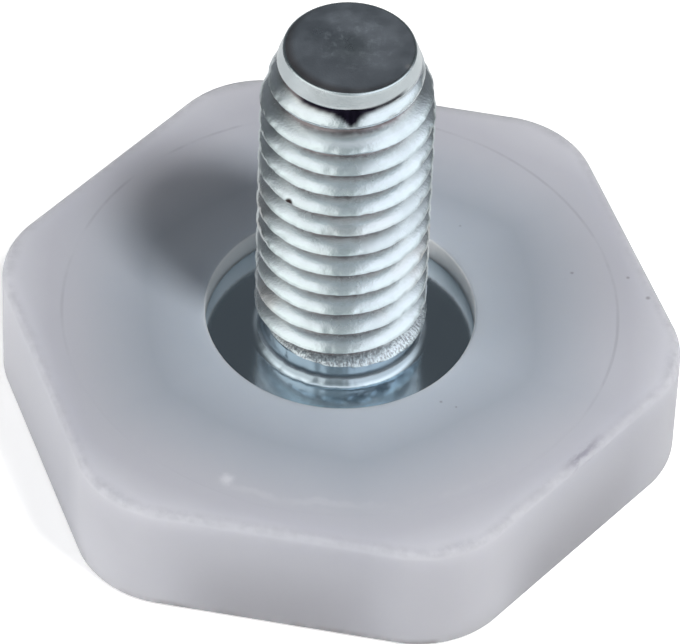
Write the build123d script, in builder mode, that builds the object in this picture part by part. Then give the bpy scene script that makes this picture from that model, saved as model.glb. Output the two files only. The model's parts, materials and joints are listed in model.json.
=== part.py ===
"""Levelling foot of a domestic appliance.

A plated steel stud stands in a moulded plastic hexagon. The stud's own hexagon
head is buried in the plastic, so a spanner on the base turns the thread.
Millimetres, +Z up along the stud, origin at the centre of the sole.
"""

import os
from math import radians, tan

from build123d import *

# Moulded base, a hexagon with two flats across Y
base_across_flats = 28.4
base_corner_radius = 4.75
base_thickness = 6.0
top_edge_radius = 0.3
sole_edge_radius = 0.25

# Round opening in the base that leaves the middle of the head in view
opening_diameter = 12.3
opening_edge_radius = 0.15
cover_thickness = 1.2

# Hexagon head of the stud, forged in one piece with the shank
head_across_flats = 16.0
head_thickness = 3.2
head_crown_diameter = 15.2
head_chamfer_angle = 30.0
head_turn = -15.0

# Shank of the stud, measured up from the seat of the head
stud_length = 17.6
neck_diameter = 7.0
neck_length = 1.15
neck_fillet_radius = 0.6
runout_length = 0.45
thread_diameter = 7.9

# Point of the stud, a cone that runs into the threaded length in a soft curve
point_diameter = 5.86
point_angle = 20.0
point_blend_radius = 4.0
end_dish_depth = 0.12

# Heights that follow from the sizes above
seat_height = base_thickness - cover_thickness
head_underside = seat_height - head_thickness
stud_end = seat_height + stud_length
neck_top = seat_height + neck_length
thread_start = neck_top + runout_length
point_length = (thread_diameter - point_diameter) / 2 / tan(radians(point_angle))
cone_start = stud_end - point_length

# Stud: hexagon head, filleted neck, threaded length at its outer diameter, tapered point
with BuildPart() as threaded_stud:
    with BuildSketch(Plane.XY.offset(head_underside)):
        RegularPolygon(head_across_flats / 2, 6, major_radius=False, rotation=head_turn)
    extrude(amount=head_thickness)

    # A shallow cone takes the corners off the free side of the head
    crown_radius = head_crown_diameter / 2
    cone_reach = head_thickness / tan(radians(head_chamfer_angle))
    with BuildSketch(Plane.XZ):
        with BuildLine():
            Polyline(
                (0, head_underside),
                (crown_radius, head_underside),
                (crown_radius + cone_reach, seat_height),
                (0, seat_height),
                close=True,
            )
        make_face()
    revolve(axis=Axis.Z, mode=Mode.INTERSECT)

    neck_radius = neck_diameter / 2
    fillet_edge = neck_radius + neck_fillet_radius
    with BuildSketch(Plane.XZ):
        with BuildLine():
            Line((0, seat_height), (fillet_edge, seat_height))
            CenterArc(
                (fillet_edge, seat_height + neck_fillet_radius),
                neck_fillet_radius,
                start_angle=180,
                arc_size=90,
            )
            Polyline(
                (neck_radius, seat_height + neck_fillet_radius),
                (neck_radius, neck_top),
                (thread_diameter / 2, thread_start),
                (thread_diameter / 2, cone_start),
                (point_diameter / 2, stud_end),
            )
            dish = TangentArc(
                (0, stud_end - end_dish_depth),
                (point_diameter / 2, stud_end),
                tangent=(1, 0),
            )
            Line(dish @ 0, (0, seat_height))
        make_face()
        cone_foot = vertices().sort_by_distance((thread_diameter / 2, cone_start))[0]
        fillet(cone_foot, point_blend_radius)
    revolve(axis=Axis.Z)

# Base: rounded hexagon moulded round the head, open above it, closed below it
with BuildPart() as hex_base:
    with BuildSketch():
        RegularPolygon(base_across_flats / 2, 6, major_radius=False)
        fillet(vertices(), base_corner_radius)
    extrude(amount=base_thickness)
    fillet(faces().sort_by(Axis.Z)[-1].edges(), top_edge_radius)
    fillet(faces().sort_by(Axis.Z)[0].edges(), sole_edge_radius)
    with Locations((0, 0, base_thickness)):
        Hole(opening_diameter / 2, depth=cover_thickness)
    opening_rim = faces().sort_by(Axis.Z)[-1].inner_wires()[0]
    fillet(opening_rim.edges(), opening_edge_radius)
    add(threaded_stud.part, mode=Mode.SUBTRACT)

threaded_stud.part.label = "threaded_stud"
hex_base.part.label = "hex_base"

os.makedirs("parts", exist_ok=True)
export_step(threaded_stud.part, "parts/threaded_stud.step")
export_step(hex_base.part, "parts/hex_base.step")
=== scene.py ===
# %% [markdown]
# A levelling foot is two pieces: a zinc-plated stud with a rolled thread, and a milky plastic
# hexagon moulded round the head of that stud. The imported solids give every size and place, so
# the first step is to load them and read off the few sizes that the later cells build on.

# %% Load the frame
import json
from math import atan2, cos, degrees, exp, hypot, pi, radians, sin, sqrt, tan

import bmesh
import bpy
from mathutils import Matrix, Vector, noise


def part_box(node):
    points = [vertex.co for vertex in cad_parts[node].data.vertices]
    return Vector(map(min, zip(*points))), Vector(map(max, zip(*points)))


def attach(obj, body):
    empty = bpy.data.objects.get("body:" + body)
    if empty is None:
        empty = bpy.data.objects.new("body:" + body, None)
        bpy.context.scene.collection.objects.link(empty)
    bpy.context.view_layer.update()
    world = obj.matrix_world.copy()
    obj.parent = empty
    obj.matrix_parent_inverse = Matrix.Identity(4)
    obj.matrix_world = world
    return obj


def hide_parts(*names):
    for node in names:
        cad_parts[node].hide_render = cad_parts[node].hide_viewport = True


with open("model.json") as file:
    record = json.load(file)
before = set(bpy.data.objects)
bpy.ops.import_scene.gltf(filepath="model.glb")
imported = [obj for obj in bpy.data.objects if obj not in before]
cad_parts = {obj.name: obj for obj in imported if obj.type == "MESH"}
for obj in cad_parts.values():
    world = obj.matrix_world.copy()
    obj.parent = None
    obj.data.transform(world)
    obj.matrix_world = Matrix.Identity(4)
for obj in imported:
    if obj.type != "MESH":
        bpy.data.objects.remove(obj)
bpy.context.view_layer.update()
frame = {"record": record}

MM = 0.001
base_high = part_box("hex_base")[1]
stud_low, stud_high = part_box("threaded_stud")
thread_mount = next(mount for mount in frame["record"]["mounts"] if mount["name"] == "stud_thread")
thread_radius = thread_mount["dims"]["r_mm"] * MM
base_top = base_high.z
stud_end = stud_high.z
print(f"base {base_top / MM:.2f} mm thick, stud end at {stud_end / MM:.2f} mm")
print(f"thread {2 * thread_radius / MM:.2f} mm over the crests")

# %% [markdown]
# The camera stands in front of the foot, a little to its right, and looks down on it at about
# 46 degrees through a long lens, so the flats stay almost parallel. Its axes are worked out from
# the angles and written as one matrix, which also takes the slight roll of a hand-held shot.

# %% Camera
camera_turn = radians(9.5)
camera_rise = radians(46.04)
camera_roll = radians(2.19)
camera_distance = 293.2 * MM
camera_lens = 340.2
camera_aim = Vector((0.02, 0.0, 5.12)) * MM

towards_camera = Vector(
    (sin(camera_turn) * cos(camera_rise), -cos(camera_turn) * cos(camera_rise), sin(camera_rise))
)
level_right = Vector((cos(camera_turn), sin(camera_turn), 0))
level_up = towards_camera.cross(level_right)
camera_right = cos(camera_roll) * level_right + sin(camera_roll) * level_up
camera_up = cos(camera_roll) * level_up - sin(camera_roll) * level_right

bpy.ops.object.camera_add()
camera = bpy.context.object
camera.data.sensor_fit = "HORIZONTAL"
camera.data.lens = camera_lens
camera.data.clip_start = 10 * MM
camera.matrix_world = Matrix.Translation(camera_aim + camera_distance * towards_camera) @ Matrix(
    (camera_right, camera_up, towards_camera)
).transposed().to_4x4()
bpy.context.scene.camera = camera
bpy.context.scene.view_settings.view_transform = "Standard"
print("camera at", [round(value / MM, 1) for value in camera.location], "mm")

# %% [markdown]
# Both pieces are modelled by hand, with the tools of edit mode. Small helpers save typing: one
# opens a new primitive for editing, two select parts of it by their place, one extrudes a round
# rim along a list of radii and heights, as a potter pulls up a wall, and one closes the piece.

# %% Helpers for modelling
level_tolerance = 0.001 * MM
merge_distance = 0.0005 * MM


def clear_selection():
    """Leave edit mode and select nothing, so that the next tool touches only its own piece."""
    if bpy.context.object and bpy.context.object.mode != "OBJECT":
        bpy.ops.object.mode_set(mode="OBJECT")
    bpy.ops.object.select_all(action="DESELECT")


def open_piece(name):
    """Name the primitive that was just added and open it for editing."""
    piece = bpy.context.object
    piece.name = name
    piece.data.name = name
    bpy.ops.object.transform_apply(location=True, rotation=True, scale=True)
    bpy.ops.object.mode_set(mode="EDIT")
    return piece


def at_height(co, height):
    """Whether a corner lies at a height."""
    return abs(co.z - height) < level_tolerance


def pick(piece, kind, test):
    """Select the vertices, edges or faces of the open piece whose corners all pass the test."""
    bpy.ops.mesh.select_mode(type=kind)
    bpy.ops.mesh.select_all(action="DESELECT")
    shape = bmesh.from_edit_mesh(piece.data)
    parts = {"VERT": shape.verts, "EDGE": shape.edges, "FACE": shape.faces}[kind]
    for part in parts:
        corners = [part] if kind == "VERT" else part.verts
        if all(test(corner.co) for corner in corners):
            part.select_set(True)
    shape.select_flush_mode()
    bmesh.update_edit_mesh(piece.data)


def pick_open_rim(piece, height):
    """Select the open edges that lie at one height."""
    bpy.ops.mesh.select_mode(type="EDGE")
    bpy.ops.mesh.select_all(action="DESELECT")
    shape = bmesh.from_edit_mesh(piece.data)
    for edge in shape.edges:
        level = all(at_height(corner.co, height) for corner in edge.verts)
        if level and len(edge.link_faces) < 2:
            edge.select_set(True)
    bmesh.update_edit_mesh(piece.data)


def pull_rim(path):
    """Extrude the selected round rim from point to point of a path of (radius, height)."""
    for (radius, height), (next_radius, next_height) in zip(path, path[1:]):
        rise = (0, 0, next_height - height)
        bpy.ops.mesh.extrude_edges_move(TRANSFORM_OT_translate={"value": rise})
        grow = next_radius / radius
        bpy.ops.transform.resize(value=(grow, grow, 1), center_override=(0, 0, next_height))


def arc(centre, radius, start, end, steps):
    """Points of an arc in the plane of radius and height, angles in degrees."""
    angles = [radians(start + (end - start) * i / steps) for i in range(steps + 1)]
    return [(centre[0] + radius * cos(a), centre[1] + radius * sin(a)) for a in angles]


def close_piece(piece, node, smooth_angle):
    """Tidy the mesh, shade it, hang it on the root body and hide the imported part that it replaces."""
    bpy.ops.mesh.select_all(action="SELECT")
    bpy.ops.mesh.remove_doubles(threshold=merge_distance)
    bpy.ops.mesh.normals_make_consistent(inside=False)
    bpy.ops.object.mode_set(mode="OBJECT")
    bpy.ops.object.shade_smooth_by_angle(angle=radians(smooth_angle))
    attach(piece, "root")
    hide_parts(node)
    faces_on = {}
    for polygon in piece.data.polygons:
        for key in polygon.edge_keys:
            faces_on[key] = faces_on.get(key, 0) + 1
    open_edges = sum(count != 2 for count in faces_on.values())
    print(piece.name, len(piece.data.polygons), "faces,", open_edges, "open edges")


print("corners count as level within", level_tolerance / MM, "mm")

# %% [markdown]
# The thread is rolled, not cut: dies press the groove into the blank, so its root and crest are
# rounded. One pitch of the profile is a sharp V of 60 degrees, cut off where it would pass the
# crest or the root, and eased there. The groove's depth is the usual one for a metric thread.

# %% Thread profile
pitch = 1.25 * MM
sharp_depth = sqrt(3) / 2 * pitch
crest_cut = sharp_depth / 8
groove_depth = 0.6134 * pitch
root_radius = thread_radius - groove_depth
crest_ease = 0.30 * MM
root_ease = 0.09 * MM


def ease_below(value, limit, ease):
    """The smaller of two radii, with a soft change from one to the other."""
    gap = max(ease - abs(value - limit), 0) / ease
    return min(value, limit) - gap * gap * ease / 4


def ease_above(value, limit, ease):
    """The larger of two radii, with a soft change from one to the other."""
    return -ease_below(-value, -limit, ease)


def thread_profile(share):
    """Radius at a share of the pitch, counted from the middle of one root to the next."""
    to_crest = 1 - abs(2 * share - 1)
    sharp = thread_radius + crest_cut - sharp_depth * (1 - to_crest)
    return ease_above(ease_below(sharp, thread_radius, crest_ease), root_radius, root_ease)


print("thread", pitch / MM, "mm pitch, root at", round(root_radius / MM, 3), "mm")

# %% [markdown]
# A thread could be made from a curve with a bevel, but its two ends would then be hard to blend.
# Here one pitch of the profile is extruded as a chain of vertices, and the Screw modifier winds
# that chain from below the neck to above the end. Later cells fit the winding to the blank.

# %% Wind the thread
profile_steps = 20
steps_per_turn = 200
thread_turns = 15
winding_start = 4.29 * MM

clear_selection()
bpy.ops.mesh.primitive_plane_add(size=MM)
stud = open_piece("rolled_stud")
bpy.ops.mesh.select_all(action="SELECT")
bpy.ops.mesh.merge(type="CENTER")
chain = [
    Vector((thread_profile(i / profile_steps), 0, winding_start + pitch * i / profile_steps))
    for i in range(profile_steps + 1)
]
bpy.ops.transform.translate(value=chain[0])
for point, next_point in zip(chain, chain[1:]):
    bpy.ops.mesh.extrude_vertices_move(TRANSFORM_OT_translate={"value": next_point - point})
bpy.ops.object.mode_set(mode="OBJECT")

winding = stud.modifiers.new("Rolled thread", "SCREW")
winding.axis = "Z"
winding.screw_offset = pitch
winding.iterations = thread_turns
winding.steps = steps_per_turn
winding.render_steps = steps_per_turn
bpy.ops.object.modifier_apply(modifier=winding.name)
print("winding has", len(stud.data.vertices), "vertices")

# %% [markdown]
# The blank was pointed to a cone before rolling, so towards the end the crests stop at that cone,
# the groove gets shallower, and a plain collar is left. At the other end the dies lift off the
# plain neck. Both are written as a rule for the radius at each height.

# %% Shape of the blank
cover_thickness = 1.2 * MM
seat_height = base_top - cover_thickness
neck_radius = 3.5 * MM
neck_top = 5.95 * MM
runout_top = 6.08 * MM
point_radius = 2.93 * MM
point_slope = tan(radians(20))
point_ease = 0.24 * MM
point_root = 2.95 * MM
plain_collar = 0.66 * MM
groove_from = 1.0 * MM


def soft_step(value, low, high):
    """0 below low, 1 above high, and a smooth rise between."""
    share = min(max((value - low) / (high - low), 0), 1)
    return share * share * (3 - 2 * share)


def point_limit(height):
    """Largest radius that the pointed blank leaves at a height."""
    cone = point_radius + (stud_end - height) * point_slope
    return ease_below(cone, thread_radius, point_ease)


def thread_share(height):
    """Share of the full groove depth that the dies pressed at a height."""
    room = (point_limit(height) - point_root) / groove_depth
    return min(room, 1) * soft_step(stud_end - height, plain_collar, groove_from)


def rolled_radius(radius, height):
    """Radius of the finished stud where the winding alone would give the first value."""
    rolled = point_limit(height) - (thread_radius - radius) * thread_share(height)
    return neck_radius + (rolled - neck_radius) * soft_step(height, neck_top, runout_top)


print("point", round(2 * point_limit(stud_end) / MM, 2), "mm across at its end")

# %% [markdown]
# A cheap roll leaves faults: the dies tear the metal into upright streaks where they lift off, and
# the crests stay ragged where the metal did not fill them. A bump could fake that, but it shows in
# the outline, so noise moves the vertices: drawn out upwards for the streaks, inwards on the crests.

# %% Faults of the roll
torn_low = 6.5 * MM
torn_high = 7.2 * MM
streak_width = 0.17 * MM
streak_stretch = 0.25
streak_height = 0.028 * MM
coarse_notch = 0.45 * MM
fine_notch = 0.2 * MM
fine_share = 0.6
notch_depth = 0.055 * MM
crest_depth = (0.08, 0.40)
point_fade = (0.9 * MM, 1.5 * MM)


def torn_share(height):
    """1 where the dies lifted off and tore the metal, 0 elsewhere."""
    return soft_step(height, neck_top, runout_top) * (1 - soft_step(height, torn_low, torn_high))


def crest_share(height, depth):
    """1 on the crests of the full thread, 0 in its grooves, at the point and in the torn metal."""
    full = soft_step(stud_end - height, *point_fade) * (1 - torn_share(height))
    return full * (1 - soft_step(depth, *crest_depth))


def notches(here, size):
    """Noise of one size that only takes metal away."""
    return min(noise.noise(here / size), 0)


def roll_fault(here, depth):
    """How far the metal stands off its true radius; depth is a share of the full groove."""
    streak = noise.noise(Vector((here.x, here.y, streak_stretch * here.z)) / streak_width)
    ragged = notches(here, coarse_notch) + fine_share * notches(here, fine_notch)
    return (
        streak_height * torn_share(here.z) * streak
        + notch_depth * crest_share(here.z, depth) * ragged
    )


print("torn metal from", neck_top / MM, "to", torn_high / MM, "mm up")

# %% [markdown]
# Under the collar the first groove gets painted shade: a dark band for the shadow and the dark reflection
# in that groove, widest round a small nick, where it hangs down in a tongue. It could be painted in the
# material alone, but it follows the thread, so its edges are worked out from the turn round the axis, and
# the result goes with the mesh.

# %% Painted shade and nick
collar_shade_turn = radians(-78)
collar_shade_top = 21.62 * MM
collar_shade_top_fade = 0.1 * MM
collar_shade_low_fade = (0.09 * MM, 0.10 * MM)
collar_shade_half_span = 55
collar_shade_end_fade = 15
band_height = 0.28 * MM
tongue_height = 0.34 * MM
tongue_span = 13
tip_height = 0.14 * MM
tip_span = 6
collar_shade_waver = 0.05 * MM
waver_size = 0.30 * MM
nick_depth = 0.06 * MM
nick_span = 4


def collar_shade_and_nick(here, turn):
    """How dark the painted shade is at a point, from 0 to 1, and how deep the nick is there."""
    aside = degrees(turn - collar_shade_turn)
    upper_edge = collar_shade_top + pitch * aside / 360
    hang = band_height + tongue_height * exp(-abs(aside) / tongue_span)
    hang += tip_height * exp(-((aside / tip_span) ** 4))
    hang += collar_shade_waver * noise.noise(here / waver_size)
    lower_edge = upper_edge - hang
    collar_shaded = soft_step(here.z, lower_edge - collar_shade_low_fade[0], lower_edge + collar_shade_low_fade[1])
    collar_shaded *= soft_step(upper_edge + collar_shade_top_fade - here.z, 0, collar_shade_top_fade)
    collar_shaded *= soft_step(collar_shade_half_span - abs(aside), 0, collar_shade_end_fade)
    return collar_shaded, nick_depth * exp(-((aside / nick_span) ** 2)) * collar_shaded


print("stain hangs", round((band_height + tongue_height + tip_height) / MM, 2), "mm at the nick")

# %% [markdown]
# Now each vertex of the winding moves to its true radius, faults and nick included. Two attributes
# go with the mesh for painted shade: how deep a point lies in the groove, where the lower flanks also
# count as deep so that they are painted darker, and where the first groove under the collar is painted
# dark.

# %% Roll the stud
flank_shade_share = 0.55
flank_shade_fade = (0.02, 0.18)
depth_gain = 2.2

for name in ("groove", "collar_shade"):
    stud.data.attributes.new(name, "FLOAT", "POINT")
groove = stud.data.attributes["groove"].data
collar_shade = stud.data.attributes["collar_shade"].data
for vertex in stud.data.vertices:
    turn = atan2(vertex.co.y, vertex.co.x)
    wound = hypot(vertex.co.x, vertex.co.y)
    height = vertex.co.z
    depth = (thread_radius - wound) / groove_depth
    radius = rolled_radius(wound, height)
    here = Vector((radius * cos(turn), radius * sin(turn), height))
    # painted shade in the first groove under the collar, kept as an attribute
    collar_shaded, nick = collar_shade_and_nick(here, turn)
    radius += roll_fault(here, depth) - nick

    share = ((height - winding_start) / pitch - turn / (2 * pi)) % 1
    # painted shade: the lower flanks count as deep, so the ramp paints them darker
    flank_shade = flank_shade_share * soft_step(0.5 - share, *flank_shade_fade)
    groove[vertex.index].value = max(depth, flank_shade) * min(depth_gain * thread_share(height), 1)
    collar_shade[vertex.index].value = collar_shaded
    vertex.co = (radius * cos(turn), radius * sin(turn), height)
print("groove", round(groove_depth / MM, 2), "mm deep, rolled from", runout_top / MM, "mm up")

# %% [markdown]
# The winding is cut level below the end and at the neck, and the two open rims are pulled on: the
# upper one over a rounded edge into the shallow dish that pointing leaves, the lower one down the
# neck and out along the fillet under the head.

# %% End and neck
end_edge_radius = 0.11 * MM
end_cut = stud_end - end_edge_radius
edge_steps = 6
dish_share_and_depth = [(0.80, 0.02 * MM), (0.62, 0.06 * MM), (0.38, 0.10 * MM), (0.14, 0.12 * MM)]
neck_cut = 5.8 * MM
fillet_radius = 0.6 * MM
fillet_steps = 10
cut_threshold = 0.00001 * MM

bpy.ops.object.mode_set(mode="EDIT")
bpy.ops.mesh.select_mode(type="VERT")
bpy.ops.mesh.select_all(action="SELECT")
bpy.ops.mesh.remove_doubles(threshold=merge_distance)
for cut_height, upper in ((end_cut, True), (neck_cut, False)):
    bpy.ops.mesh.select_all(action="SELECT")
    bpy.ops.mesh.bisect(
        plane_co=(0, 0, cut_height),
        plane_no=(0, 0, 1),
        clear_outer=upper,
        clear_inner=not upper,
        threshold=cut_threshold,
    )

pick_open_rim(stud, end_cut)
edge_centre = (point_limit(end_cut) - end_edge_radius, end_cut)
dish_path = [(share * point_radius, stud_end - depth) for share, depth in dish_share_and_depth]
pull_rim(arc(edge_centre, end_edge_radius, 0, 90, edge_steps) + dish_path)
bpy.ops.mesh.merge(type="CENTER")

pick_open_rim(stud, neck_cut)
fillet_centre = (neck_radius + fillet_radius, seat_height + fillet_radius)
pull_rim([(neck_radius, neck_cut)] + arc(fillet_centre, fillet_radius, 180, 270, fillet_steps))
print("end rounded by", end_edge_radius / MM, "mm, neck", 2 * neck_radius / MM, "mm across")

# %% [markdown]
# The head is a thin hexagon with chamfered corners on its free side. One circle of six vertices,
# filled up to the fillet and extruded down, closes the stud. The plating attributes are cleared
# on the new faces, because an extrusion copies them from the rim that it starts at.

# %% Head
head_turn = radians(15)
head_corner = stud_high.x / cos(head_turn)
head_chamfer = 0.5 * MM
collar_height = stud_end - 0.5 * MM
stud_smooth_angle = 40


def on_hexagon(co, height):
    """Whether a corner lies on the head's hexagon at a height, and not on a round rim inside it."""
    return at_height(co, height) and co.xy.length > 0.9 * head_corner


bpy.ops.mesh.primitive_circle_add(
    vertices=6, radius=head_corner, location=(0, 0, seat_height), rotation=(0, 0, head_turn)
)
pick_open_rim(stud, seat_height)
bpy.ops.mesh.fill(use_beauty=True)
pick(stud, "EDGE", lambda co: on_hexagon(co, seat_height))
bpy.ops.mesh.extrude_edges_move(TRANSFORM_OT_translate={"value": (0, 0, stud_low.z - seat_height)})
bpy.ops.mesh.edge_face_add()
pick(stud, "EDGE", lambda co: at_height(co, stud_low.z))
bpy.ops.mesh.bevel(offset=head_chamfer, segments=1, affect="EDGES")
close_piece(stud, "threaded_stud", stud_smooth_angle)
for vertex in stud.data.vertices:
    if vertex.co.z > collar_height or vertex.co.z < neck_top:
        for name in ("groove", "collar_shade"):
            stud.data.attributes[name].data[vertex.index].value = 0.0

# %% [markdown]
# The base starts as a round bar of the corner radius. Its sixty-degree sectors are moved apart,
# each to one corner of the hexagon, which leaves six true arcs joined by flats. The long edges of
# the top and the sole are then eased with a bevel, as a mould would leave them.

# %% Rounded hexagon
corner_radius = 4.75 * MM
sector_steps = 15
half_sector = radians(30)
half_flats = base_high.y
corner_offset = (half_flats - corner_radius) / cos(half_sector)
top_ease = 0.3 * MM
sole_ease = 0.25 * MM
ease_steps = 5


def in_sector(co, direction):
    """Whether a vertex of the round bar lies in the sector round a direction."""
    unmoved = co.xy.length < 1.01 * corner_radius
    return unmoved and co.xy.normalized().dot(direction) > cos(half_sector)


clear_selection()
bpy.ops.mesh.primitive_cylinder_add(
    vertices=6 * sector_steps,
    radius=corner_radius,
    depth=base_top,
    location=(0, 0, base_top / 2),
    rotation=(0, 0, pi / (6 * sector_steps)),
)
base = open_piece("moulded_base")
for sector in range(6):
    direction = Vector((cos(sector * pi / 3), sin(sector * pi / 3)))
    pick(base, "VERT", lambda co: in_sector(co, direction))
    bpy.ops.transform.translate(value=corner_offset * direction.to_3d())
for height, ease in ((base_top, top_ease), (0.0, sole_ease)):
    pick(base, "EDGE", lambda co: at_height(co, height))
    bpy.ops.mesh.bevel(offset=ease, segments=ease_steps, profile=0.5, affect="EDGES")
print("hexagon", round(2 * half_flats / MM, 2), "mm across flats")

# %% [markdown]
# The top is opened and rebuilt from one circle: a fine ring where two parts of the mould met, the
# plain land inside it, the eased edge of the round opening and its wall down to the head.

# %% Opening and mould ring
ring_radius = 12.66 * MM
ring_half_width = 0.05 * MM
ring_margin = 0.03 * MM
ring_depth = 0.010 * MM
ring_outer = ring_radius + ring_half_width + ring_margin
land_radii = (10 * MM, 8 * MM)
opening_radius = 6.15 * MM
opening_ease = 0.15 * MM
circle_steps = 144

pick(base, "FACE", lambda co: at_height(co, base_top))
bpy.ops.mesh.delete(type="FACE")
bpy.ops.mesh.primitive_circle_add(vertices=circle_steps, radius=ring_outer, location=(0, 0, base_top))
pick_open_rim(base, base_top)
bpy.ops.mesh.fill(use_beauty=True)
pick(base, "EDGE", lambda co: at_height(co, base_top) and co.xy.length < ring_outer + 2 * level_tolerance)
ring_path = [
    (ring_outer, base_top),
    (ring_radius + ring_half_width, base_top),
    (ring_radius, base_top - ring_depth),
    (ring_radius - ring_half_width, base_top),
    (ring_radius - ring_half_width - ring_margin, base_top),
]
land_path = [(radius, base_top) for radius in land_radii]
ease_centre = (opening_radius + opening_ease, base_top - opening_ease)
ease_path = arc(ease_centre, opening_ease, 90, 180, ease_steps)
pull_rim(ring_path + land_path + ease_path + [(opening_radius, seat_height)])
print("opening", 2 * opening_radius / MM, "mm across")

# %% [markdown]
# Below the cover the wall turns outwards into the pocket that the buried head fills. A hair of
# room keeps the sides and floors of the two pieces apart, so that they never share a place there.

# %% Pocket
pocket_gap = 0.005 * MM
pocket_corner = head_corner + pocket_gap
pocket_floor = stud_low.z - pocket_gap
base_smooth_angle = 30

bpy.ops.mesh.primitive_circle_add(
    vertices=6, radius=pocket_corner, location=(0, 0, seat_height), rotation=(0, 0, head_turn)
)
pick_open_rim(base, seat_height)
bpy.ops.mesh.fill(use_beauty=True)
pick(base, "EDGE", lambda co: on_hexagon(co, seat_height))
bpy.ops.mesh.extrude_edges_move(TRANSFORM_OT_translate={"value": (0, 0, pocket_floor - seat_height)})
bpy.ops.mesh.edge_face_add()
close_piece(base, "hex_base", base_smooth_angle)

# %% [markdown]
# Materials are node trees. A few helpers keep them short: one turns the usual 0 to 255 colour into
# the linear values that Blender works with, one adds a node and sets or links its inputs, and the
# rest are the handful of nodes that every tree here uses again and again.

# %% Helpers for materials
def colour(red, green, blue):
    """A display colour as linear red, green, blue and alpha."""
    shares = [value / 255 for value in (red, green, blue)]
    linear = [s / 12.92 if s <= 0.04045 else ((s + 0.055) / 1.055) ** 2.4 for s in shares]
    return (*linear, 1)


def add_node(tree, kind, inputs=None, **settings):
    """Add a node, set its options, and set or link its inputs."""
    node = tree.nodes.new(kind)
    for name, value in settings.items():
        setattr(node, name, value)
    for name, value in (inputs or {}).items():
        if isinstance(value, bpy.types.NodeSocket):
            tree.links.new(value, node.inputs[name])
        else:
            node.inputs[name].default_value = value
    return node


def arithmetic(tree, operation, first, second=0.0):
    """One step of arithmetic."""
    return add_node(tree, "ShaderNodeMath", {0: first, 1: second}, operation=operation).outputs[0]


def product(tree, *values):
    """All values multiplied."""
    result = values[0]
    for value in values[1:]:
        result = arithmetic(tree, "MULTIPLY", result, value)
    return result


def fade(tree, value, low, high, start=0.0, end=1.0):
    """A smooth change from start to end while a value goes from low to high."""
    span = {"Value": value, "From Min": low, "From Max": high, "To Min": start, "To Max": end}
    return add_node(tree, "ShaderNodeMapRange", span, interpolation_type="SMOOTHSTEP").outputs["Result"]


def vector_step(tree, operation, first, second=(0, 0, 0), result="Vector"):
    """One step of arithmetic with vectors."""
    node = add_node(tree, "ShaderNodeVectorMath", {0: first, 1: second}, operation=operation)
    return node.outputs[result]


def along(tree, vector, direction):
    """How far a vector reaches along a direction."""
    return vector_step(tree, "DOT_PRODUCT", vector, direction, "Value")


def distance(tree, place, point):
    """Distance from a point that is given in millimetres."""
    return vector_step(tree, "DISTANCE", place, Vector(point) * MM, "Value")


def mix_colour(tree, factor, first, second):
    """A mix of two colours."""
    node = add_node(tree, "ShaderNodeMix", {"Factor": factor}, data_type="RGBA")
    for name, value in (("A", first), ("B", second)):
        if isinstance(value, bpy.types.NodeSocket):
            tree.links.new(value, node.inputs[name])
        else:
            node.inputs[name].default_value = value
    return node.outputs["Result"]


def ramp(tree, value, stops):
    """A colour ramp with its stops, as pairs of position and colour."""
    node = add_node(tree, "ShaderNodeValToRGB", {"Fac": value})
    while len(node.color_ramp.elements) < len(stops):
        node.color_ramp.elements.new(1)
    for element, (position, shade) in zip(node.color_ramp.elements, stops):
        element.position = position
        element.color = shade
    return node.outputs["Color"]


def grain(tree, place, scale, detail=4.0, roughness=0.6):
    """Noise between 0 and 1; the scale counts grains in a metre."""
    inputs = {"Vector": place, "Scale": scale, "Detail": detail, "Roughness": roughness}
    return add_node(tree, "ShaderNodeTexNoise", inputs).outputs["Fac"]


def new_material(name):
    """A material, its tree, its Principled shader and the place on the piece."""
    material = bpy.data.materials.new(name)
    material.use_nodes = True
    tree = material.node_tree
    place = add_node(tree, "ShaderNodeTexCoord").outputs["Object"]
    return material, tree, tree.nodes["Principled BSDF"], place


print("display grey 188 is", round(colour(188, 188, 188)[0], 2), "of full light")

# %% [markdown]
# Neither plating nor moulded plastic is one even colour: both have soft clouds with finer grain in
# them. That effect is built once, as a node group, and each material sets its own size for it.

# %% Clouds, a node group for both materials
grains_per_cloud = 7.0

clouds = bpy.data.node_groups.new("soft_clouds", "ShaderNodeTree")
clouds.interface.new_socket("Place", in_out="INPUT", socket_type="NodeSocketVector")
clouds.interface.new_socket("Clouds in a metre", in_out="INPUT", socket_type="NodeSocketFloat")
clouds.interface.new_socket("Clouds", in_out="OUTPUT", socket_type="NodeSocketFloat")
clouds.interface.new_socket("Grain", in_out="OUTPUT", socket_type="NodeSocketFloat")
group_in = clouds.nodes.new("NodeGroupInput")
group_out = clouds.nodes.new("NodeGroupOutput")
cloud_scale = group_in.outputs["Clouds in a metre"]
grain_scale = arithmetic(clouds, "MULTIPLY", cloud_scale, grains_per_cloud)
soft = grain(clouds, group_in.outputs["Place"], cloud_scale)
fine = grain(clouds, group_in.outputs["Place"], grain_scale, detail=5.0, roughness=0.65)
clouds.links.new(soft, group_out.inputs["Clouds"])
clouds.links.new(fine, group_out.inputs["Grain"])


def add_clouds(tree, place, clouds_in_a_metre):
    """Place the group in a material and return its two outputs."""
    node = tree.nodes.new("ShaderNodeGroup")
    node.node_tree = clouds
    tree.links.new(place, node.inputs["Place"])
    node.inputs["Clouds in a metre"].default_value = clouds_in_a_metre
    return node.outputs["Clouds"], node.outputs["Grain"]


print("group", clouds.name, "with", len(clouds.nodes), "nodes")

# %% [markdown]
# Bright zinc is a bluish mirror with a soft haze. The grooves get painted shade: the plating is painted
# greyer with depth, and the dark line at the root is painted shade with some oil and dust in it. The mesh
# already knows how deep a point lies, so a colour ramp reads that attribute, and clouds and grain keep
# its lines from looking drawn.

# %% Zinc in the grooves
cloud_share = 0.25
grain_share = 0.30

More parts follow.
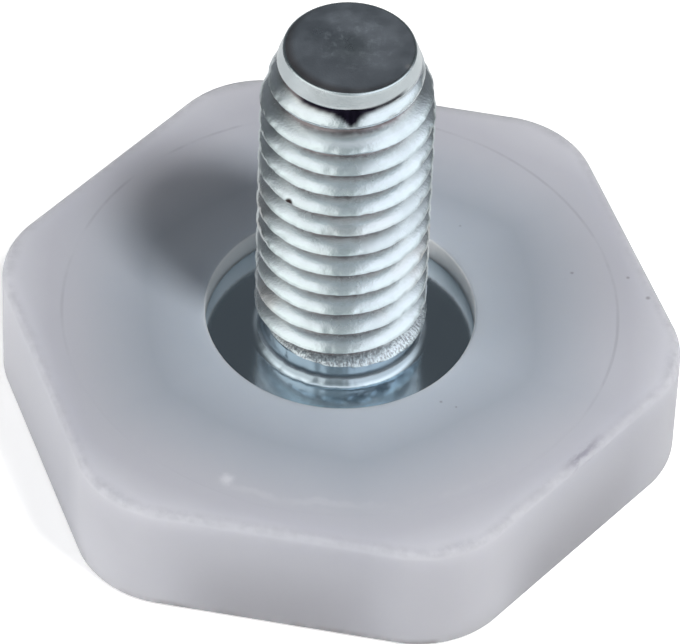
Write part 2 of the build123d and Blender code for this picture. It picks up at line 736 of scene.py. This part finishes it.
zinc, tree, shader, place = new_material("bright_zinc_plate")
zinc_clouds, zinc_grain = add_clouds(tree, place, 400.0)
groove_shade = add_node(tree, "ShaderNodeAttribute", attribute_name="groove").outputs["Fac"]
uneven = arithmetic(
    tree, "ADD", product(tree, zinc_clouds, cloud_share), product(tree, zinc_grain, grain_share)
)
uneven = arithmetic(tree, "SUBTRACT", uneven, (cloud_share + grain_share) / 2)
# painted shade: greyer and darker towards the root and on the lower flanks; the darkest stop is partly
# oil and dust
zinc_tint = ramp(
    tree,
    arithmetic(tree, "ADD", groove_shade, uneven),
    [
        (0.0, colour(203, 212, 215)),
        (0.12, colour(216, 225, 228)),
        (0.35, colour(215, 222, 228)),
        (0.60, colour(199, 206, 209)),
        (0.80, colour(184, 186, 187)),
        (0.94, colour(118, 108, 110)),
    ],
)
dull = fade(tree, zinc_clouds, 0.42, 0.66, 0.0, 0.25)
zinc_tint = mix_colour(tree, dull, zinc_tint, colour(180, 186, 190))
print(zinc.name, "shaded from crest to root")

# %% [markdown]
# Faint warm clouds in the lower half and one deep pit make this stud look used and not drawn, and
# painted shade lies in the first groove round the nick. Each is one more colour over the plating: the
# clouds placed by height, the pit by its distance from a point, the painted shade by its attribute.

# %% Zinc clouds, pit and painted shade
warm_from = (6.5 * MM, 9.0 * MM)
warm_until = (11 * MM, 17 * MM)
pit_place = (-1.91, -3.42, 15.73)
pit_edge = (0.12 * MM, 0.26 * MM)

height = along(tree, place, (0, 0, 1))
warm = product(
    tree,
    fade(tree, grain(tree, place, 230.0, 2.0), 0.52, 0.70, 0.0, 0.55),
    fade(tree, height, *warm_from),
    fade(tree, height, *warm_until, 1.0, 0.2),
)
zinc_tint = mix_colour(tree, warm, zinc_tint, colour(214, 204, 200))
pitted = fade(tree, distance(tree, place, pit_place), *pit_edge, 1.0, 0.0)
zinc_tint = mix_colour(tree, pitted, zinc_tint, colour(52, 40, 40))
# painted shade and dark reflection in the first groove under the collar
collar_shade_here = add_node(tree, "ShaderNodeAttribute", attribute_name="collar_shade").outputs["Fac"]
zinc_tint = mix_colour(tree, collar_shade_here, zinc_tint, colour(28, 24, 36))
print("pit", pit_place[2], "mm up")

# %% [markdown]
# The neck and the head, which the dies did not touch, keep the bluest plating. At the run-out the
# metal is torn into short upright streaks, and dirt stays in the dark ones. The streaks are noise
# on the direction round the axis, with little change upwards, so they stand upright all round.

# %% Zinc at the neck
rolled_from = (5.9 * MM, 6.1 * MM)
plate_until = (seat_height + 0.02 * MM, seat_height + 0.15 * MM)
streaks_around = 38.0
streak_rise = 260

rolled = fade(tree, height, *rolled_from)
off_plate = fade(tree, height, *plate_until)
blue_tint = mix_colour(tree, off_plate, colour(222, 235, 244), colour(167, 178, 187))
zinc_tint = mix_colour(tree, rolled, blue_tint, zinc_tint)
level = vector_step(tree, "MULTIPLY", place, (1, 1, 0))
around = vector_step(tree, "NORMALIZE", level)
upwards = vector_step(tree, "MULTIPLY", place, (0, 0, streak_rise))
streaks = grain(tree, vector_step(tree, "ADD", around, upwards), streaks_around, 3.0)
torn = product(tree, rolled, fade(tree, height, torn_low, torn_high, 1.0, 0.0))
dirty = product(tree, torn, fade(tree, streaks, 0.36, 0.58, 0.55, 0.0))
zinc_tint = mix_colour(tree, dirty, zinc_tint, colour(92, 90, 98))
print("streaks fade out", torn_high / MM, "mm up")

# %% [markdown]
# The sheared end was never polished: it is duller than the thread, with light rub marks in its
# middle, a darker border and one bright nick at its rim. Its border is kept off the rounded edge,
# which shines like the collar below it.

# %% Zinc at the end
end_from = (stud_end - 0.14 * MM, stud_end - 0.09 * MM)
end_until = (2.79 * MM, 2.87 * MM)
rub_centre = (0.2, 0.3, stud_end / MM)
rub_edge = (0.6 * MM, 2.3 * MM)
border_from = (2.6 * MM, 3.1 * MM)
rim_nick_place = (2.72, -0.60, 22.36)
rim_nick_edge = (0.08 * MM, 0.22 * MM)

off_middle = distance(tree, place, (0, 0, stud_end / MM))
on_end = product(
    tree,
    fade(tree, height, *end_from),
    fade(tree, off_middle, *end_until, 1.0, 0.0),
)
off_rub = distance(tree, place, rub_centre)
rubbed = product(
    tree,
    fade(tree, grain(tree, place, 2400.0, 8.0, 0.8), 0.46, 0.74),
    fade(tree, off_rub, *rub_edge, 1.0, 0.15),
)
end_tint = mix_colour(tree, rubbed, colour(202, 208, 216), colour(238, 246, 252))
at_border = fade(tree, off_rub, *border_from)
end_tint = mix_colour(tree, at_border, end_tint, colour(160, 156, 158))
zinc_tint = mix_colour(tree, on_end, zinc_tint, end_tint)
rim_nick = fade(tree, distance(tree, place, rim_nick_place), *rim_nick_edge, 1.0, 0.0)
zinc_tint = mix_colour(tree, rim_nick, zinc_tint, colour(226, 226, 228))
print("end rubbed round", rub_centre[:2], "mm")

# %% [markdown]
# Haze makes the difference between a mirror and a plated thread: low on the head and the neck,
# cloudy on the thread, highest on the rubbed end. Bump adds relief that is too fine to model: a
# soft wave on the head's face, a grain on the thread, and the streaks of the torn metal.

# %% Zinc surface
thread_haze = (0.15, 0.30)
head_and_neck_haze = (0.15, 0.22)
added_end_haze = (0.12, 0.26)
neck_from = (4.85 * MM, 5.2 * MM)
wave_until = (5.0 * MM, 5.6 * MM)
grain_from = (5.0 * MM, 6.0 * MM)
torn_relief = 2.2
relief_height = 0.04 * MM

haze = product(tree, fade(tree, zinc_clouds, 0.3, 0.7, *thread_haze), rolled)
unrolled = fade(tree, rolled, 0.0, 1.0, 1.0, 0.0)
neck_haze = product(tree, fade(tree, height, *neck_from, *head_and_neck_haze), unrolled)
end_haze = product(tree, on_end, fade(tree, rubbed, 0.0, 0.8, *added_end_haze))
haze = arithmetic(tree, "ADD", arithmetic(tree, "ADD", haze, neck_haze), end_haze)

wavy = product(tree, grain(tree, place, 700.0, 2.0), fade(tree, height, *wave_until, 0.12, 0.0))
rough_share = fade(tree, height, *grain_from, 0.1, 0.45)
rolled_grain = product(tree, grain(tree, place, 8000.0, 3.0), rough_share)
relief = arithmetic(tree, "ADD", rolled_grain, wavy)
relief = arithmetic(tree, "ADD", relief, product(tree, torn, streaks, torn_relief))
bump = add_node(tree, "ShaderNodeBump", {"Height": relief, "Strength": 0.4, "Distance": relief_height})

tree.links.new(zinc_tint, shader.inputs["Base Color"])
tree.links.new(haze, shader.inputs["Roughness"])
tree.links.new(bump.outputs["Normal"], shader.inputs["Normal"])
shader.inputs["Metallic"].default_value = 1.0
stud.data.materials.append(zinc)
print(zinc.name, len(tree.nodes), "nodes")

# %% [markdown]
# The base is natural polyethylene: milky and a little see-through. The light and shade of the buried head
# are painted into its colour: lighter and bluish over the head, which throws light back, darkest just
# outside its edge, where it shades the plastic, and lighter towards the rim, where light comes in through
# the sides.
# Real depth would need slow rays through the plastic, so the colour follows the distance to a hexagon
# that is softened to a circle and a little cloudy.

# %% Painted light and shade of the buried head
hexagon_share = 0.55
cloud_shift = 0.9 * MM
shade_from = 6 * MM
shade_to = 16 * MM


def hexagon_reach(tree, place, turn):
    """Distance from the axis, measured square to the flats of a hexagon with a given turn."""
    reach = 0.0
    for k in range(3):
        angle = turn + k * pi / 3
        away = arithmetic(tree, "ABSOLUTE", along(tree, place, (cos(angle), sin(angle), 0)))
        reach = arithmetic(tree, "MAXIMUM", reach, away)
    return reach


milky, tree, shader, place = new_material("milky_polyethylene")
milk_clouds, milk_grain = add_clouds(tree, place, 260.0)
radial = vector_step(tree, "LENGTH", vector_step(tree, "MULTIPLY", place, (1, 1, 0)), result="Value")
by_hexagon = product(tree, hexagon_reach(tree, place, head_turn), hexagon_share)
spread = arithmetic(tree, "ADD", by_hexagon, product(tree, radial, 1 - hexagon_share))
cloudy = arithmetic(tree, "SUBTRACT", milk_clouds, 0.5)
spread = arithmetic(tree, "ADD", spread, product(tree, cloudy, cloud_shift))
from_head = add_node(
    tree, "ShaderNodeMapRange", {"Value": spread, "From Min": shade_from, "From Max": shade_to}
).outputs["Result"]
# painted light and shade of the buried head, from the axis outwards
milk_tint = ramp(
    tree,
    from_head,
    [
        (0.0, colour(190, 198, 208)),
        (0.10, colour(184, 192, 202)),
        (0.28, colour(172, 179, 189)),
        (0.43, colour(184, 189, 198)),
        (0.60, colour(195, 197, 205)),
        (0.72, colour(199, 200, 208)),
        (0.80, colour(206, 207, 214)),
        (1.0, colour(222, 222, 228)),
    ],
)
print(milky.name, "shaded from", shade_from / MM, "to", shade_to / MM, "mm off the axis")

# %% [markdown]
# Thick plastic takes its tone from the light that comes through it, and here that light is painted. Low
# on the flats, apart from the one towards the left lamp, it is missing, so they get painted shade. The
# rounded upper edges get painted shade in spots, so that they catch less light, and the thin wall of the
# opening is painted pale for the light that comes through it. Masks by place set each tone.

# %% Flats, edges and wall
left_flat = radians(210)
left_flat_from = (12.5 * MM, 13.8 * MM)
flats_from = (13.6 * MM, 14.1 * MM)
flats_until = (14.15 * MM, 15.2 * MM)
flats_rise = (0.5 * MM, 5.4 * MM)
flat_turn = pi / 6
edge_from = (half_flats - 0.7 * MM, half_flats - 0.2 * MM)
corner_from = (14.8 * MM, 15.4 * MM)
edge_rise = (base_top - 0.28 * MM, base_top - 0.07 * MM)
wall_until = (opening_radius + 0.005 * MM, opening_radius + 0.08 * MM)

height = along(tree, place, (0, 0, 1))
to_left_flat = along(tree, place, (cos(left_flat), sin(left_flat), 0))
# painted shade low on the flats, little on the flat towards the left lamp
flat_shade = product(
    tree,
    fade(tree, to_left_flat, *left_flat_from, 1.0, 0.1),
    fade(tree, radial, *flats_from),
    fade(tree, radial, *flats_until, 1.0, 0.0),
    fade(tree, height, *flats_rise, 1.0, 0.0),
)
milk_tint = mix_colour(tree, flat_shade, milk_tint, colour(184, 184, 190))
near_flat = fade(tree, hexagon_reach(tree, place, flat_turn), *edge_from)
near_corner = fade(tree, radial, *corner_from)
# painted shade in spots on the rounded upper edges, so that they catch less light
edge_shade = product(
    tree,
    arithmetic(tree, "MAXIMUM", near_flat, near_corner),
    fade(tree, height, *edge_rise),
    fade(tree, milk_grain, 0.35, 0.65, 0.3, 0.7),
)
milk_tint = mix_colour(tree, edge_shade, milk_tint, colour(186, 187, 194))
# painted light: the wall of the opening made pale for the light that comes through the plastic
wall_light = fade(tree, radial, *wall_until, 1.0, 0.0)
milk_tint = mix_colour(tree, wall_light, milk_tint, colour(248, 252, 255))
print("edges toned from", round(edge_rise[0] / MM, 2), "mm up")

# %% [markdown]
# The fine groove of the mould ring is modelled, but light under the skin all but fills it in, so its
# shade is painted: a thin broken line of grey along it, mostly at the back.

# %% Line in the mould ring
top_from = (base_top - 0.2 * MM, base_top - 0.1 * MM)
ring_line_edge = (0.02 * MM, 0.11 * MM)
ring_line_back = (-8 * MM, 2 * MM)
ring_line_strength = (0.02, 0.27)

on_top = fade(tree, height, *top_from)
off_ring = arithmetic(tree, "ABSOLUTE", arithmetic(tree, "SUBTRACT", radial, ring_radius))
# painted shade along the groove of the mould ring, mostly at the back
ring_line_shade = product(
    tree,
    fade(tree, off_ring, *ring_line_edge, 1.0, 0.0),
    fade(tree, along(tree, place, (0, 1, 0)), *ring_line_back, *ring_line_strength),
    fade(tree, milk_clouds, 0.35, 0.60),
    on_top,
)
milk_tint = mix_colour(tree, ring_line_shade, milk_tint, colour(140, 140, 150))
print("line", ring_radius / MM, "mm off the axis")

# %% [markdown]
# A foot that lay in a box of others has marks. Here a few dark specks are pressed into the skin,
# and one pale fleck is knocked out of it. Each is painted by its distance from a point, and the
# grain of the plastic is added to that distance, so that no mark is quite round.

# %% Specks and fleck
specks = [
    ((9.95, 4.54, 6.0), 0.13),
    ((12.51, 4.79, 6.0), 0.12),
    ((13.61, 3.72, 6.0), 0.15),
    ((5.55, -4.74, 6.0), 0.11),
    ((6.27, -4.90, 6.0), 0.08),
    ((4.39, 6.41, 6.0), 0.10),
    ((6.60, -14.2, 5.42), 0.12),
]
fleck_place = (-2.88, -11.41, 6.0)
fleck_edge = (0.30 * MM, 0.72 * MM)
fleck_crumbs = 0.5 * MM

specked = 0.0
for point, speck_size in specks:
    crumbs = product(tree, milk_grain, speck_size * MM)
    off_speck = arithmetic(tree, "ADD", distance(tree, place, point), crumbs)
    near = fade(tree, off_speck, 0.6 * speck_size * MM, 1.5 * speck_size * MM, 0.5, 0.0)
    specked = arithmetic(tree, "MAXIMUM", specked, near)
milk_tint = mix_colour(tree, specked, milk_tint, colour(96, 92, 104))

crumbs = product(tree, milk_grain, fleck_crumbs)
off_fleck = arithmetic(tree, "ADD", distance(tree, place, fleck_place), crumbs)
flecked = fade(tree, off_fleck, *fleck_edge, 0.6, 0.0)
milk_tint = mix_colour(tree, flecked, milk_tint, colour(232, 233, 238))
print(len(specks), "specks and one fleck")

# %% [markdown]
# Spanners and neighbours rub the edges. A short row of violet-grey scuffs lies on the upper edge of
# the right-hand flat. It is noise drawn out along that edge, so its axes are turned with the flat.

# %% Scuffs on the right
scuffed_flat = radians(-30)
scuff_stretch = 0.3
scuff_reach = (13.5 * MM, 13.95 * MM)
scuff_rise = (5.6 * MM, 5.85 * MM)
scuffs_from = (-0.9 * MM, 0.3 * MM)
scuffs_until = (0.6 * MM, 2.6 * MM)

outwards = along(tree, place, (cos(scuffed_flat), sin(scuffed_flat), 0))
edgeways = along(tree, place, (-sin(scuffed_flat), cos(scuffed_flat), 0))
scuff_axes = {"X": outwards, "Y": product(tree, edgeways, scuff_stretch), "Z": height}
scuff_place = add_node(tree, "ShaderNodeCombineXYZ", scuff_axes).outputs["Vector"]
scuffed = product(
    tree,
    fade(tree, outwards, *scuff_reach),
    fade(tree, height, *scuff_rise),
    fade(tree, edgeways, *scuffs_from),
    fade(tree, edgeways, *scuffs_until, 1.0, 0.0),
    fade(tree, grain(tree, scuff_place, 3200.0, 4.0), 0.44, 0.62, 0.0, 0.5),
)
milk_tint = mix_colour(tree, scuffed, milk_tint, colour(120, 116, 134))
print("scuffs on the flat at", round(degrees(scuffed_flat)), "degrees")

# %% [markdown]
# In front, a pale rubbed line wanders just inside the mould ring, and a trace of dirt stays at the
# sole, where the foot slid on a floor. The line is a circle that the clouds push in and out, which
# looks less drawn than a true one; the dirt is noise low on the front flat.

# %% Pale line and dirt in front
line_radius = 12.1 * MM
line_wander = 2.0 * MM
line_edge = (0.05 * MM, 0.32 * MM)
line_front = (7.5 * MM, 10 * MM)
line_left_end = (-3.6 * MM, -2.6 * MM)
dirt_front = (13.7 * MM, 13.95 * MM)
dirt_rise = (0.12 * MM, 0.55 * MM)

on_front = along(tree, place, (0, -1, 0))
wander = arithmetic(tree, "ADD", radial, product(tree, cloudy, line_wander))
off_line = arithmetic(tree, "ABSOLUTE", arithmetic(tree, "SUBTRACT", wander, line_radius))
pale_line = product(
    tree,
    fade(tree, off_line, *line_edge, 0.22, 0.0),
    fade(tree, on_front, *line_front),
    fade(tree, along(tree, place, (1, 0, 0)), *line_left_end),
    fade(tree, milk_clouds, 0.36, 0.56),
    on_top,
)
milk_tint = mix_colour(tree, pale_line, milk_tint, colour(220, 221, 226))
dirt = product(
    tree,
    fade(tree, on_front, *dirt_front),
    fade(tree, height, *dirt_rise, 1.0, 0.0),
    fade(tree, grain(tree, place, 900.0, 4.0), 0.38, 0.62, 0.1, 0.6),
)
milk_tint = mix_colour(tree, dirt, milk_tint, colour(138, 132, 132))
print("pale line", line_radius / MM, "mm off the axis, dirt at the sole")

# %% [markdown]
# The skin is satin, with a faint orange-peel. Light wanders a millimetre or two under it before it
# comes out again, which softens every edge; the glow of the opening's wall is painted into its colour
# above.

# %% Polyethylene skin
light_wander = 1.5 * MM
peel_height = 0.03 * MM

bump = add_node(tree, "ShaderNodeBump", {"Height": milk_grain, "Strength": 0.06, "Distance": peel_height})
satin = fade(tree, milk_clouds, 0.3, 0.7, 0.44, 0.54)
tree.links.new(milk_tint, shader.inputs["Base Color"])
tree.links.new(satin, shader.inputs["Roughness"])
tree.links.new(bump.outputs["Normal"], shader.inputs["Normal"])
shader.inputs["IOR"].default_value = 1.5
shader.inputs["Specular IOR Level"].default_value = 0.2
shader.inputs["Subsurface Weight"].default_value = 1.0
shader.inputs["Subsurface Radius"].default_value = (1.0, 1.0, 1.0)
shader.inputs["Subsurface Scale"].default_value = light_wander
base.data.materials.append(milky)
print(milky.name, len(tree.nodes), "nodes")

# %% [markdown]
# The stage is a pale sheet of paper. It takes the shadow of the foot, and a little glow that only
# the camera and mirrors see lifts it to white without lighting the foot.

# %% Floor
floor_width = 4.0
floor_drop = 0.02 * MM
glow_for_camera = 0.6
glow_for_mirrors = 0.22

clear_selection()
bpy.ops.mesh.primitive_plane_add(size=floor_width, location=(0, 0, -floor_drop))
floor = bpy.context.object
floor.name = "floor"
paper, tree, shader = new_material("floor_paper")[:3]
rays = add_node(tree, "ShaderNodeLightPath").outputs
by_mirror = arithmetic(tree, "MAXIMUM", rays["Is Glossy Ray"], rays["Is Transmission Ray"])
seen = product(tree, rays["Is Camera Ray"], glow_for_camera)
glow = arithmetic(tree, "MAXIMUM", seen, product(tree, by_mirror, glow_for_mirrors))
shader.inputs["Base Color"].default_value = (0.8, 0.8, 0.8, 1)
shader.inputs["Roughness"].default_value = 0.9
shader.inputs["Emission Color"].default_value = (1, 1, 1, 1)
tree.links.new(glow, shader.inputs["Emission Strength"])
floor.data.materials.append(paper)
print("floor", floor.dimensions.x, "m wide")

# %% [markdown]
# Four soft boxes light the foot: a strong one high on the right, which throws the stud's shadow to
# the left across the plastic, a wide one on the left, and two weak ones in front and close by on the
# right. Mirrors do not see them, because the next cell gives the metal a calmer room to reflect.

# %% Lamps
def soft_box(name, turn, rise, stand_off, size, radiance):
    """A square lamp aimed at the foot; turn is counted from the camera to its right."""
    heading = camera_turn + radians(turn)
    climb = radians(rise)
    away = Vector((sin(heading) * cos(climb), -cos(heading) * cos(climb), sin(climb)))
    bpy.ops.object.light_add(type="AREA", location=stand_off * away + Vector((0, 0, base_top)))
    lamp = bpy.context.object
    lamp.name = name
    lamp.data.shape = "SQUARE"
    lamp.data.size = size
    lamp.data.energy = radiance * pi * size * size
    lamp.rotation_mode = "QUATERNION"
    lamp.rotation_quaternion = away.to_track_quat("Z", "Y")
    lamp.visible_glossy = False
    print(name, round(lamp.data.energy, 2), "W")


clear_selection()
soft_box("key_lamp", turn=48, rise=60, stand_off=0.3, size=0.05, radiance=78.0)
soft_box("left_lamp", turn=-75, rise=13, stand_off=0.3, size=0.14, radiance=7.4)
soft_box("front_lamp", turn=15, rise=22, stand_off=0.4, size=0.2, radiance=0.75)
soft_box("right_lamp", turn=115, rise=42, stand_off=0.07, size=0.06, radiance=0.6)

# %% [markdown]
# What bright metal shows is the room around it. This one is drawn by direction, which needs no
# photograph of a room: its walls are dim at the back, where a paler backdrop hangs low down, and
# pale behind the camera, with a darker patch where the camera stands, and its ceiling is bright.

# %% Walls of the room
back_wall = (0.062, 0.069, 0.076, 1)
camera_wall = (0.74, 0.82, 0.83, 1)
backdrop_tint = (0.19, 0.20, 0.21, 1)
ceiling_tint = (0.85, 0.88, 0.92, 1)
patch_edge = (cos(radians(40)), cos(radians(6)))

room = bpy.data.worlds.new("room")
bpy.context.scene.world = room
room.use_nodes = True
tree = room.node_tree
way = add_node(tree, "ShaderNodeTexCoord").outputs["Generated"]
ahead = along(tree, way, (level_right.y, -level_right.x, 0.0))
up = along(tree, way, (0, 0, 1))
camera_side = along(tree, way, tuple(towards_camera))
wall = product(
    tree,
    fade(tree, ahead, -0.7, 0.95),
    fade(tree, camera_side, *patch_edge, 1.0, 0.55),
)
wall_tint = ramp(tree, wall, [(0.0, back_wall), (1.0, camera_wall)])
backdrop = product(tree, fade(tree, up, 0.46, 0.70, 1.0, 0.0), fade(tree, ahead, -0.75, -0.35, 1.0, 0.0))
wall_tint = mix_colour(tree, backdrop, wall_tint, backdrop_tint)
overhead = fade(tree, up, 0.95, 0.99)
wall_tint = mix_colour(tree, overhead, wall_tint, ceiling_tint)
print(room.name, "with its back wall, backdrop and ceiling")

# %% [markdown]
# A white card on each side gives the thread its bright bands, a little bluer on the right. Only
# mirrors see this room: the camera sees white, and matt surfaces get a low even light, so that the
# lamps alone make the shadows.

# %% Cards and light of the room
card_turn = camera_turn + radians(6)
card_shift = 0.05
left_card = (1.25, 1.29, 1.27, 1)
right_card = (1.24, 1.31, 1.37, 1)
even_light = (0.066, 0.066, 0.07, 1)
white = (1, 1, 1, 1)

sideways = along(tree, way, tuple(level_right))
beside = arithmetic(tree, "ABSOLUTE", arithmetic(tree, "ADD", sideways, card_shift))
card_ahead = along(tree, way, (sin(card_turn), -cos(card_turn), 0.0))
card = product(
    tree,
    fade(tree, beside, 0.11, 0.38),
    fade(tree, card_ahead, -0.57, -0.02),
    fade(tree, up, 0.1, 0.5, 0.55, 1.0),
)
on_right = fade(tree, sideways, -0.3, 0.3)
card_tint = mix_colour(tree, on_right, left_card, right_card)
reflected = mix_colour(tree, card, wall_tint, card_tint)
rays = add_node(tree, "ShaderNodeLightPath").outputs
light = mix_colour(tree, rays["Is Glossy Ray"], even_light, reflected)
light = mix_colour(tree, rays["Is Camera Ray"], light, white)
tree.links.new(light, tree.nodes["Background"].inputs["Color"])
print(room.name, len(tree.nodes), "nodes")

# %% [markdown]
# The last cell leaves edit mode and selects nothing.

# %% Finish
clear_selection()
